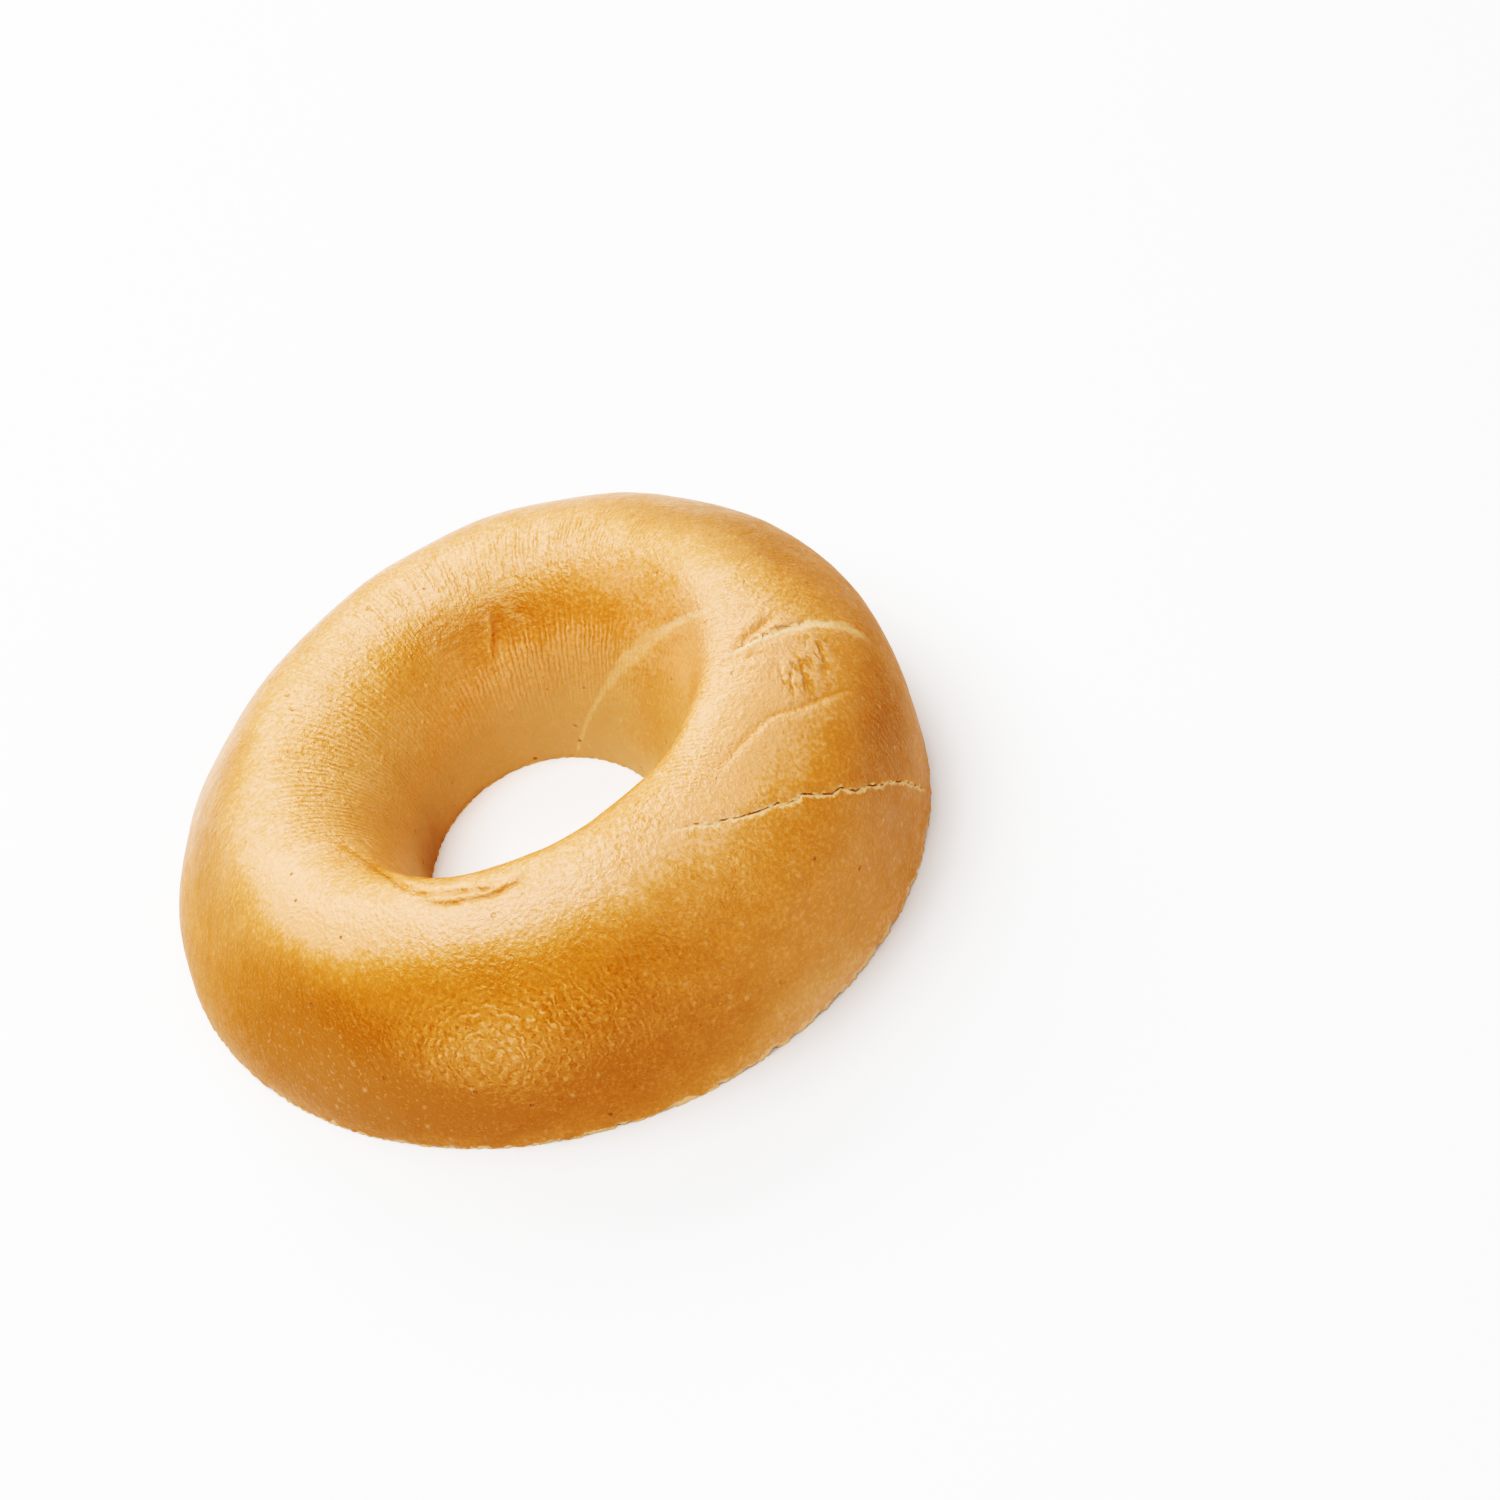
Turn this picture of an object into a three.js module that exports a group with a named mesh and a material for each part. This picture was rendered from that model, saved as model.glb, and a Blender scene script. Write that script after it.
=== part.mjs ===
// The upper half of a sliced plain bagel: one piece of bread, lying on its cut face.
//
// Millimetres, +Z up. The cut face lies in the plane z = 0, and the origin is the middle
// of its outline. The bread is a ring. A place on its crust is given by two angles in
// degrees: how far round the ring it lies, counted from +X towards +Y, and how far over
// the section, from 0 at the outer edge of the cut face, past about 90 on the crown, to
// 180 at the hole's edge of the cut face.

import * as THREE from 'three';

// ---- driving dimensions ----

// A size that changes round the ring has a mean and some waves. A wave adds its size
// towards one side of the ring, and as often as its count.
const OUTER_EDGE = { mean: 52, waves: [{ size: 1.3, count: 2, toward: 84.5 }] };
const HOLE_EDGE = {
  mean: 18.4,
  waves: [
    { size: 3.9, count: 1, toward: 263.4 },
    { size: 1.8, count: 2, toward: 85.9 },
  ],
};
const CROWN_HEIGHT = { mean: 28, waves: [{ size: 6.3, count: 1, toward: 325.9 }] };

// How far the crown leans to the hole, and how far both shoulders are pushed outwards
const CROWN_LEAN = { mean: 1.45, waves: [{ size: 1.2, count: 1, toward: 304.7 }] };
const SHOULDER_PUSH = { mean: 2.63, waves: [{ size: 8.4, count: 1, toward: 329.5 }] };
const FLANK_DROP = 0.124; // share of the height that the flanks lose against a plain arch

// Low, slow lumps of the risen dough
const LUMPS = [
  { size: 0.14, round: 5, over: 2, shift: 40 },
  { size: 0.12, round: 8, over: 3, shift: 200 },
  { size: 0.1, round: 13, over: 4, shift: 310 },
];

// Marks in the crust. Each runs along a path of places on the crust, given in degrees as
// [round, over]. Depth and height are measured from the smooth crust, and width is that
// of half the mark. A fold is a lip: the crust stands up on its left and dips on its right.
const MARKS = [
  // where the two ends of the dough were pressed together, on the wall of the hole
  { kind: 'groove', depth: 0.5, width: 1.5,
    path: [[63, 177], [52, 161], [34, 145], [19, 134], [-2, 115], [-12, 96]] },
  // the same join, over the crown and down the outside
  { kind: 'groove', depth: 0.6, width: 1.7,
    path: [[-30, 88], [-19, 76], [-11, 58], [-8, 47], [-6, 36]] },
  // the crack, from beside the crown down to the flank, with the crust raised beside it
  { kind: 'crack', depth: 0.5, height: 0.3, width: 1.7,
    path: [[285, 78], [294, 67], [302, 60], [311, 53], [319, 43], [339, 10]] },
  // a lip of dough that overlaps its neighbour
  { kind: 'fold', height: 0.9, width: 3.0,
    path: [[302, 77], [310, 74], [319, 70.5], [324, 65.5], [332, 55]] },
  // the crease that follows the rim of the hole
  { kind: 'groove', depth: 0.9, width: 1.5,
    path: [[200, 111], [210, 112], [220, 109], [230, 102], [238, 91], [245, 83], [251, 81], [262, 83.5]] },
  // a short dimple on the wall of the hole
  { kind: 'groove', depth: 0.7, width: 1.1, path: [[84, 116], [85, 127], [86, 138]] },
];
const PATH_STEPS = 60;
const MARK_FADE = 0.12; // share of a path over which a mark fades in and out

// The mesh of the crust
const STEPS_ROUND = 150;
const STEPS_OVER = 32;
// Steps are this much closer round the middle of each marked stretch, in degrees
const CLOSE_STRETCHES = [
  { middle: 312, reach: 26, gain: 0.8 },
  { middle: 240, reach: 18, gain: 0.4 },
];

const CRUST_COLOUR = 0xd9a253;

// ---- the smooth ring ----

const radians = THREE.MathUtils.degToRad;

function sizeAt(size, round) {
  return size.waves.reduce(
    (sum, wave) => sum + wave.size * Math.cos(wave.count * radians(round - wave.toward)),
    size.mean,
  );
}

// The place on the smooth crust
function crust(round, over) {
  const outer = sizeAt(OUTER_EDGE, round);
  const inner = sizeAt(HOLE_EDGE, round);
  const across = Math.cos(radians(over));
  const up = Math.sin(radians(over));
  const radius = (outer + inner) / 2
    + ((outer - inner) / 2) * across
    - sizeAt(CROWN_LEAN, round) * up ** 2
    + sizeAt(SHOULDER_PUSH, round) * (up * across) ** 2;
  const height = sizeAt(CROWN_HEIGHT, round) * up * (1 - FLANK_DROP * across ** 2);
  return new THREE.Vector3(
    radius * Math.cos(radians(round)),
    radius * Math.sin(radians(round)),
    height,
  );
}

function crustNormal(round, over) {
  const step = 0.01;
  const alongRound = crust(round + step, over).sub(crust(round - step, over));
  const alongOver = crust(round, over + step).sub(crust(round, over - step));
  return alongRound.cross(alongOver).normalize();
}

// ---- relief ----

function lumps(round, over) {
  return LUMPS.reduce(
    (sum, lump) => sum
      + lump.size * Math.sin(radians(lump.round * round + lump.shift)) * Math.sin(radians(lump.over * over)),
    0,
  );
}

function layPath(mark) {
  const corners = mark.path.map(([round, over]) => crust(round, over));
  return { ...mark, points: new THREE.CatmullRomCurve3(corners).getSpacedPoints(PATH_STEPS) };
}

// Where a place lies beside a path: how far off, on which side, and how far along
function besidePath(points, place, normal) {
  let nearest = 0;
  for (let i = 1; i < points.length; i += 1) {
    if (points[i].distanceToSquared(place) < points[nearest].distanceToSquared(place)) nearest = i;
  }
  const before = points[Math.max(nearest - 1, 0)];
  const after = points[Math.min(nearest + 1, points.length - 1)];
  const offset = place.clone().sub(points[nearest]);
  const left = normal.clone().cross(after.clone().sub(before)).dot(offset) > 0;
  return { distance: offset.length(), left, along: nearest / (points.length - 1) };
}

// The profile across each kind of mark, at a distance in half widths
const PROFILES = {
  groove: (mark, off) => -mark.depth * Math.exp(-(off ** 2)),
  crack: (mark, off) => mark.height * Math.exp(-((off / 3) ** 2)) - (mark.depth + mark.height) * Math.exp(-(off ** 2)),
  fold: (mark, off, left) => (left ? 0.6 : -0.4) * mark.height * Math.exp(-off),
};

function markRelief(mark, place, normal) {
  const { distance, left, along } = besidePath(mark.points, place, normal);
  const fade = Math.min(1, along / MARK_FADE, (1 - along) / MARK_FADE);
  return fade * PROFILES[mark.kind](mark, distance / mark.width, left);
}

const marks = MARKS.map(layPath);

function bread(round, over) {
  const place = crust(round, over);
  const normal = crustNormal(round, over);
  const relief = marks.reduce(
    (sum, mark) => sum + markRelief(mark, place, normal),
    lumps(round, over),
  );
  return place.addScaledVector(normal, relief);
}

// ---- the mesh ----

// Angles round the ring, closer together where the marks are
function roundSteps() {
  const density = (round) => CLOSE_STRETCHES.reduce(
    (sum, { middle, reach, gain }) => sum + gain * Math.exp(-(((round - middle) / reach) ** 2)),
    1,
  );
  const reached = [0];
  for (let round = 0; round < 360; round += 1) reached.push(reached[round] + density(round + 0.5));
  const total = reached[360];
  const steps = [];
  let whole = 0;
  for (let i = 0; i < STEPS_ROUND; i += 1) {
    const wanted = (total * i) / STEPS_ROUND;
    while (reached[whole + 1] <= wanted) whole += 1;
    steps.push(whole + (wanted - reached[whole]) / (reached[whole + 1] - reached[whole]));
  }
  return steps;
}

// The crust is a grid over the ring, and flat quads between its two edges close the cut face
function bagelGeometry() {
  const positions = [];
  for (const round of roundSteps()) {
    for (let j = 0; j <= STEPS_OVER; j += 1) {
      const place = bread(round, (180 * j) / STEPS_OVER);
      const onCut = j === 0 || j === STEPS_OVER;
      positions.push(place.x, place.y, onCut ? 0 : place.z);
    }
  }
  const corner = (i, j) => (i % STEPS_ROUND) * (STEPS_OVER + 1) + j;
  const triangles = [];
  const addQuad = (a, b, c, d) => triangles.push(a, b, c, a, c, d);
  for (let i = 0; i < STEPS_ROUND; i += 1) {
    for (let j = 0; j < STEPS_OVER; j += 1) {
      addQuad(corner(i, j), corner(i + 1, j), corner(i + 1, j + 1), corner(i, j + 1));
    }
    addQuad(corner(i, 0), corner(i, STEPS_OVER), corner(i + 1, STEPS_OVER), corner(i + 1, 0));
  }
  const geometry = new THREE.BufferGeometry();
  geometry.setAttribute('position', new THREE.Float32BufferAttribute(positions, 3));
  geometry.setIndex(triangles);
  geometry.computeVertexNormals();
  return geometry;
}

const crustMaterial = new THREE.MeshStandardMaterial({
  color: CRUST_COLOUR,
  roughness: 0.5,
  metalness: 0,
});

const bagelHalf = new THREE.Mesh(bagelGeometry(), crustMaterial);
bagelHalf.name = 'bagel_half';

const bagel = new THREE.Group();
bagel.add(bagelHalf);

export default bagel;
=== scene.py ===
# %% [markdown]
# # Half a bagel, crust up
# This lesson models the upper half of a sliced plain bagel: a ring of bread with a smooth
# browned crust, lying on its cut face. The solid model of the half is already there, as a
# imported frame. It gives the place and the size. Here the same ring gets the surface that
# real bread has: a seam where the dough was joined, a crack, creases round the hole, fine
# wrinkles, blisters, a torn edge and open crumb below.

# %% Load the frame
import math

import bmesh
import bpy
import numpy as np
from mathutils import Euler, Matrix, Vector, noise


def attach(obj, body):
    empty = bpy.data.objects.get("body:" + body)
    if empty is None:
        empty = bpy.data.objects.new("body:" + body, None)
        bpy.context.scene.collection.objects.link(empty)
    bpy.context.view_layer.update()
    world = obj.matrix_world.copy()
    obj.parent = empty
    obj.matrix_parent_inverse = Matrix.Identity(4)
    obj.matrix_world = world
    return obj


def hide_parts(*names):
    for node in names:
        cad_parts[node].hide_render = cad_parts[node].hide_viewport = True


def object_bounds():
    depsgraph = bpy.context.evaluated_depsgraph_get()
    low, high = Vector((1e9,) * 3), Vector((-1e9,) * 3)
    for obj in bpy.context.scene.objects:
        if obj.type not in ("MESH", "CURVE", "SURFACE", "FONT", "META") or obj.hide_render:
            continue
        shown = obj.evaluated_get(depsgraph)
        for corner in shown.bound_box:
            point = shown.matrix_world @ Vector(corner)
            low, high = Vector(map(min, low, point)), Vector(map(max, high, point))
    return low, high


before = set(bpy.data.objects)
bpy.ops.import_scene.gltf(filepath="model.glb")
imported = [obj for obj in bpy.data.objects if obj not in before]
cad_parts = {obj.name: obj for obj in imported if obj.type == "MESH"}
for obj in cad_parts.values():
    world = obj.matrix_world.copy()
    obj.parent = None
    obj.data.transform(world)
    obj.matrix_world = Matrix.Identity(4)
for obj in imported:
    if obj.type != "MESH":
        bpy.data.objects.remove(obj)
CAD_LOW, CAD_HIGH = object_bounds()
print("solid half, mm:", [round(1000 * side, 1) for side in CAD_HIGH - CAD_LOW])

# %% [markdown]
# ## The ring in numbers
# A bagel is a ring whose section is an arch over a flat cut. None of its sizes is the same
# all the way round: the hole is off centre, and the cut went through at a slant, so that
# one side is thicker. Each size is therefore a mean with a few waves round the ring, which
# takes less work than an outline point by point and stays smooth. Lengths are in
# millimetres until the mesh is done, and angles in degrees: `round` goes round the ring
# from +X towards +Y, and `over` goes over the arch from the outer cut edge, 0, to the
# hole's cut edge, 180.

# %% Sizes of the ring
MM = 0.001


def size(mean, *waves):
    """A size that changes round the ring. Each wave is (size, count, toward)."""
    return {"mean": mean, "waves": waves}


OUTER_EDGE = size(52, (1.3, 2, 84.5))
HOLE_EDGE = size(18.4, (3.9, 1, 263.4), (1.8, 2, 85.9))
CROWN_HEIGHT = size(28, (6.3, 1, 325.9))
CROWN_LEAN = size(1.45, (1.2, 1, 304.7))
SHOULDER_PUSH = size(2.63, (8.4, 1, 329.5))
FLANK_DROP = 0.124


def size_at(a_size, round_):
    total = np.full_like(round_, a_size["mean"])
    for height, count, toward in a_size["waves"]:
        total += height * np.cos(np.radians(count * (round_ - toward)))
    return total


print("crown, high and low side, mm:", size_at(CROWN_HEIGHT, np.array([325.9, 145.9])).round(1))

# %% [markdown]
# The arch itself is a cosine across and a sine up, like half an ellipse. Two more terms
# give it a bagel's shoulders: the flanks are pushed outwards, and the crown leans to the
# hole. FLANK_DROP is the share of the height that the flanks lose against a plain arch.
# The direction straight out of the crust is measured from four places close by, which is
# simpler than working it out.

# %% Places on the crust
def crust(round_, over):
    """Places on the smooth crust, one row of x, y, z each."""
    outer = size_at(OUTER_EDGE, round_)
    inner = size_at(HOLE_EDGE, round_)
    across = np.cos(np.radians(over))
    up = np.sin(np.radians(over))
    radius = (outer + inner) / 2 + (outer - inner) / 2 * across
    radius += size_at(SHOULDER_PUSH, round_) * (up * across) ** 2
    radius -= size_at(CROWN_LEAN, round_) * up**2
    height = size_at(CROWN_HEIGHT, round_) * up * (1 - FLANK_DROP * across**2)
    turn = np.radians(round_)
    return np.stack([radius * np.cos(turn), radius * np.sin(turn), height], -1)


def crust_normal(round_, over, step=0.02):
    along_round = crust(round_ + step, over) - crust(round_ - step, over)
    along_over = crust(round_, over + step) - crust(round_, over - step)
    normal = np.cross(along_round, along_over)
    return normal / np.linalg.norm(normal, axis=-1, keepdims=True)


print("a place on the crown, mm:", crust(np.array([325.9]), np.array([90.0])).round(1))

# %% [markdown]
# ## The camera
# The camera stands at arm's length and looks down at the ring, rolled a little, so that
# the ring seems to rise to the right. It is described by where it stands round the origin
# and by where the origin falls in a picture of 1500 by 1500 pixels, because that is how
# such a view is measured. The lens follows from the scale of the picture.

# %% Place the camera
PICTURE = 1500
ORIGIN_PIXEL = (553.9, 843.4)
PIXELS_PER_MM = 7.561
CAMERA_DISTANCE = 600
CAMERA_ELEVATION = 42.35
CAMERA_ROLL = 19.61
SENSOR = 36.0


def camera_turn():
    """The camera's rotation, looking at the origin first and then aside from it."""
    upright = Euler((math.radians(90 - CAMERA_ELEVATION), 0, 0)).to_matrix()
    rolled = upright @ Matrix.Rotation(math.radians(-CAMERA_ROLL), 3, "Z")
    focal = PIXELS_PER_MM * CAMERA_DISTANCE
    aside = Vector((PICTURE / 2 - ORIGIN_PIXEL[0], ORIGIN_PIXEL[1] - PICTURE / 2, -focal))
    return rolled @ Vector((0, 0, -1)).rotation_difference(aside).to_matrix(), rolled


camera = bpy.data.objects.new("camera", bpy.data.cameras.new("camera"))
bpy.context.scene.collection.objects.link(camera)
bpy.context.scene.camera = camera
aim, looking_at_origin = camera_turn()
camera.matrix_world = aim.to_4x4()
camera.location = looking_at_origin @ Vector((0, 0, CAMERA_DISTANCE * MM))
camera.data.sensor_width = SENSOR
camera.data.lens = SENSOR * PIXELS_PER_MM * CAMERA_DISTANCE / PICTURE
print("lens, mm:", round(camera.data.lens, 1), "camera at", [round(c, 3) for c in camera.location])

# %% [markdown]
# ## Marks in the crust
# Every mark on this bagel runs along a line: the join where the two ends of the dough were
# pressed together, the crack beside it, the lip of dough that overlaps, and the creases
# round the hole. They could be carved by sculpting, but a line on the surface and a
# profile across it say the same in a few numbers. Each path is a list of places on the
# crust, as (round, over).

# %% Paths of the marks
PATHS = {
    "wall_join": [(63, 176), (47.5, 157.4), (38.9, 150.3), (24.7, 137.8), (16.3, 131.4),
                  (7.7, 123.8), (-4.3, 110.3), (-8.8, 100), (-12, 88)],
    "crown_join": [(331, 89), (335.3, 82.4), (338.4, 77.2), (341.8, 72.3), (344.4, 67.5),
                   (346.6, 63), (347.9, 59), (349.4, 53), (350.2, 43)],
    "lip": [(301, 76.5), (305.2, 73.7), (310, 73.2), (313.7, 72.3), (317.5, 70.7), (319.9, 69),
            (323.1, 65.6), (326.9, 61.3), (332.5, 54.9), (336, 50)],
    "upper_crease": [(200.3, 109.9), (205.7, 114), (211.3, 117.2), (217.2, 118.8), (225.7, 111.5),
                     (233.1, 99.7), (240.7, 89.8), (248.5, 87), (258.8, 84.5)],
    "lower_crease": [(240.5, 87), (244.9, 82.6), (248.7, 81.8), (255, 81.7), (259.6, 82.9),
                     (265, 87.5)],
    "join_fold": [(347.5, 73.5), (344, 76.7), (340.2, 80.6), (336.9, 84.2), (332, 90)],
    "crown_fold": [(334, 76), (330.5, 83), (329.3, 89), (326.4, 96.6), (325.2, 104)],
    "dimple": [(82.3, 119), (82.7, 123), (83.4, 128), (85.3, 134), (86, 138)],
    "small_dimple": [(75, 121), (75.2, 125), (75.6, 130)],
    "scratch": [(197.3, 125.5), (200.6, 127), (204.6, 129.6)],
}
CRACK = [(287.5, 73.5), (293.5, 68.3), (296.4, 64.3), (297.5, 64.2), (299.9, 61.6), (303.7, 58.4),
         (306.9, 56.3), (307.4, 55), (309.8, 53), (311.1, 53), (312.9, 49.8), (315.5, 46),
         (317.5, 44.8), (319.5, 40.2), (322.1, 37.8), (325, 32.8), (327.7, 29.2), (331.6, 22.7),
         (335.8, 13.4), (340, 5.5)]
print("marks:", len(PATHS), "smooth ones and a crack")

# %% [markdown]
# Folds and joins in dough bend smoothly, so a Catmull-Rom curve runs through their places.
# A crack tears from weak spot to weak spot, and keeps its corners.

# %% Draw the lines
PATH_POINTS = 240
SMOOTH_STEPS = 40
BROKEN_STEPS = 30


def evenly_spaced(angles):
    """Places on the crust along a line of angles, the same distance apart, and its length."""
    points = crust(angles[:, 0], angles[:, 1])
    steps = np.linalg.norm(np.diff(points, axis=0), axis=1)
    reached = np.concatenate([[0], np.cumsum(steps)])
    even = np.linspace(0, reached[-1], PATH_POINTS)
    return np.stack([np.interp(even, reached, points[:, i]) for i in range(3)], -1), reached[-1]


def smooth_line(corners):
    """A Catmull-Rom curve through corners."""
    corners = np.array(corners, float)
    ends = np.vstack([2 * corners[0] - corners[1], corners, 2 * corners[-1] - corners[-2]])
    legs = []
    for before, start, end, after in zip(ends, ends[1:], ends[2:], ends[3:]):
        t = np.linspace(0, 1, SMOOTH_STEPS, endpoint=False)[:, None]
        legs.append(0.5 * (2 * start + (end - before) * t
                           + (2 * before - 5 * start + 4 * end - after) * t**2
                           + (3 * start - before - 3 * end + after) * t**3))
    return np.vstack(legs + [corners[-1:]])


def broken_line(corners):
    """Straight legs between corners, as a tear runs."""
    corners = np.array(corners, float)
    legs = [np.linspace(a, b, BROKEN_STEPS, endpoint=False) for a, b in zip(corners, corners[1:])]
    return np.vstack(legs + [corners[-1:]])


LINES = {name: evenly_spaced(smooth_line(corners)) for name, corners in PATHS.items()}
LINES["crack"] = evenly_spaced(broken_line(CRACK))
print("mark lengths, mm:", {name: round(float(line[1])) for name, line in LINES.items()})

# %% [markdown]
# A profile across a line needs the distance from it, and the side. Both come from the
# nearest point of the line. Only the points of the mesh in a box round the line are
# measured, some thousands at a time, because a table of all distances would be too large.

# %% Measure from a line
BOX_MARGIN = 6
NOT_NEAR = 1e3
AT_A_TIME = 4000


def beside(name, places, normals):
    """How far each place lies from a path, signed to its left, and how far along, in mm."""
    points, length = LINES[name]
    off = np.full(len(places), NOT_NEAR)
    along = np.zeros(len(places))
    low = points.min(0) - BOX_MARGIN
    high = points.max(0) + BOX_MARGIN
    near = np.nonzero(((places > low) & (places < high)).all(1))[0]
    heading = np.gradient(points, axis=0)
    for part in np.array_split(near, max(1, len(near) // AT_A_TIME)):
        gap = places[part, None, :] - points[None, :, :]
        nearest = (gap**2).sum(-1).argmin(1)
        offset = gap[np.arange(len(part)), nearest]
        side = np.einsum("ij,ij->i", np.cross(normals[part], heading[nearest]), offset)
        off[part] = np.where(side > 0, 1, -1) * np.linalg.norm(offset, axis=1)
        along[part] = nearest / (PATH_POINTS - 1) * length
    return off, along, length


print("distances are measured up to", BOX_MARGIN, "mm beyond a line")

# %% [markdown]
# ## The dough ring
# The mesh has to be fine, about half a millimetre between its points, and closed. A circle
# spun about the upright axis gives such a ring in two steps, and both angles of the ring
# can then be read from where a point lies on it. That is why the circle isn't given the
# bread's shape first: the even ring is easy to cut finer along the marks, and one function
# moves all its points to the bread afterwards.

# %% Spin the ring
ROUND_STEPS = 480
ARCH_STEPS = 112
CUT_STEPS = 28
SECTION_STEPS = ARCH_STEPS + CUT_STEPS
GUIDE_RADIUS = 34.0
GUIDE_SECTION = 12.0
ARCH_EVENNESS = 0.2
FINEST_SHARE = 8


def spin_ring():
    ring = bmesh.new()
    stand = Matrix.Translation((GUIDE_RADIUS, 0, 0)) @ Matrix.Rotation(math.pi / 2, 4, "X")
    bmesh.ops.create_circle(ring, segments=SECTION_STEPS, radius=GUIDE_SECTION, matrix=stand)
    bmesh.ops.spin(ring, geom=ring.verts[:] + ring.edges[:], cent=(0, 0, 0), axis=(0, 0, 1),
                   dvec=(0, 0, 0), angle=math.tau, steps=ROUND_STEPS, use_merge=True)
    return ring


def ring_angles(ring):
    """round and over of every point, how far across the cut face it lies, and whether on it."""
    co = np.array([v.co for v in ring.verts], float)
    round_ = np.degrees(np.arctan2(co[:, 1], co[:, 0])) % 360
    lean = np.arctan2(co[:, 2], np.hypot(co[:, 0], co[:, 1]) - GUIDE_RADIUS)
    place = np.round(lean / math.tau * SECTION_STEPS * FINEST_SHARE) / FINEST_SHARE
    place = place % SECTION_STEPS
    share = np.minimum(place / ARCH_STEPS, 1)
    over = 180 * (share - ARCH_EVENNESS * np.sin(math.tau * share) / math.tau)
    cut = np.clip((place - ARCH_STEPS) / CUT_STEPS, 0, 1)
    return round_, over, cut, place > ARCH_STEPS


ring = spin_ring()
print("ring:", len(ring.verts), "points,", len(ring.faces), "faces")

# %% [markdown]
# ## Finer where it matters
# The crack is a few tenths of a millimetre wide, far less than the mesh can show, and so
# are the nicks along the cut edge. Cutting the whole ring finer would take millions of
# faces, so only the edges beside a mark are subdivided, in up to three rounds, each closer
# to the mark than the last.

# %% Cut the mesh finer along the marks
FINE_REACHES = [
    {"crack": 1.6, "lip": 1.3, "upper_crease": 1.3, "lower_crease": 1.3, "crown_join": 1.5,
     "wall_join": 0.8, "dimple": 1.0, "small_dimple": 0.8, "join_fold": 0.9, "crown_fold": 0.9,
     "rim": 1.3},
    {"crack": 0.75, "rim": 0.55, "upper_crease": 0.5, "lower_crease": 0.5},
    {"crack": 0.3},
]


def cut_finer(ring, reaches):
    round_, over, _, on_cut = ring_angles(ring)
    places = crust(round_, over)
    normals = crust_normal(round_, over)
    near = places[:, 2] < reaches.get("rim", 0)
    for name in LINES:
        if name in reaches:
            near |= np.abs(beside(name, places, normals)[0]) < reaches[name]
    near &= ~on_cut
    ring.verts.index_update()
    edges = [e for e in ring.edges if near[e.verts[0].index] and near[e.verts[1].index]]
    bmesh.ops.subdivide_edges(ring, edges=edges, cuts=1, use_grid_fill=True)
    ring.verts.ensure_lookup_table()
    print("cut", len(edges), "edges:", len(ring.verts), "points")


for reaches in FINE_REACHES:
    cut_finer(ring, reaches)

# %% [markdown]
# ## The relief of the crust
# From here on every point has a place on the smooth crust, and a relief: how far it stands
# above that place. The relief is a sum of simple shapes. A bell is a curve that is 1 on a
# line and dies away beside it, and a blob is the same round one place. Noise makes both
# uneven, as dough is.

# %% Shapes for the relief
round_, over, cut, on_cut = ring_angles(ring)
places = crust(round_, over)
normals = crust_normal(round_, over)


def rough(places, grain, seed=0.0):
    """Perlin noise over places, from about -1 to 1, with lumps about one grain across."""
    shift = Vector((seed, 2.3 * seed, 5.1 * seed))
    return np.array([noise.noise(Vector(p) / grain + shift) for p in places])


def bell(distance, width):
    return np.exp(-((distance / width) ** 2))


def fade(along, length, reach):
    """0 at both ends of a path, 1 from reach inwards."""
    return np.clip(np.minimum(along, length - along) / reach, 0, 1)


def blob(centre, reach):
    """1 at a place on the crust, falling to 0 around it. Both are (round, over) in degrees."""
    turn = (round_ - centre[0] + 180) % 360 - 180
    return np.exp(-((turn / reach[0]) ** 2) - ((over - centre[1]) / reach[1]) ** 2)


print("points on the crust:", int((~on_cut).sum()), "on the cut face:", int(on_cut.sum()))

# %% [markdown]
# Risen dough is never quite even. A few slow waves round the ring and over the arch match
# the lumps of the solid, and two layers of noise add smaller ones. The marks also leave
# two kinds of traces for the colours: painted shade, as deep as a point lies in a valley,
# and painted light, which is a highlight along ridges and a browner shade on one ragged crease.

# %% Lumps of the dough
LUMPS = [(0.14, 5, 2, 40), (0.12, 8, 3, 200), (0.10, 13, 4, 310)]


def lumps(round_, over):
    """Waves of (height, count round the ring, count over the arch, shift)."""
    return sum(
        height * np.sin(np.radians(a * round_ + shift)) * np.sin(np.radians(b * over))
        for height, a, b, shift in LUMPS
    )


relief = lumps(round_, over) + 0.10 * rough(places, 9, 40) + 0.05 * rough(places, 2.6, 41)
painted_valley_shade = np.zeros(len(places))
pale = np.zeros(len(places))
wander = 0.5 * rough(places, 3.5, 4)
fray = 0.35 * rough(places, 1.1, 3)
print("lumps from", round(float(relief.min()), 2), "to", round(float(relief.max()), 2), "mm")

# %% [markdown]
# ## The join
# A bagel is rolled as a rope, and its ends are pressed together. The join stays as a
# shallow groove with a pale, frayed band. The groove is relief, but the band's edge is far
# finer than the mesh, so the points only keep their distance from the join, and the
# material draws the band from it.

# %% Press in the join
FAR = 9.0
JOIN_GROOVE_DEPTH = 0.12
JOIN_RIDGE_HEIGHT = 0.10
JOIN_RIDGE_PLACE = 1.7
JOIN_RIDGE_WIDTH = 0.8
PIT_DEPTH = 0.08
join_off = np.full(len(places), FAR)
join_strength = np.zeros(len(places))


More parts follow.
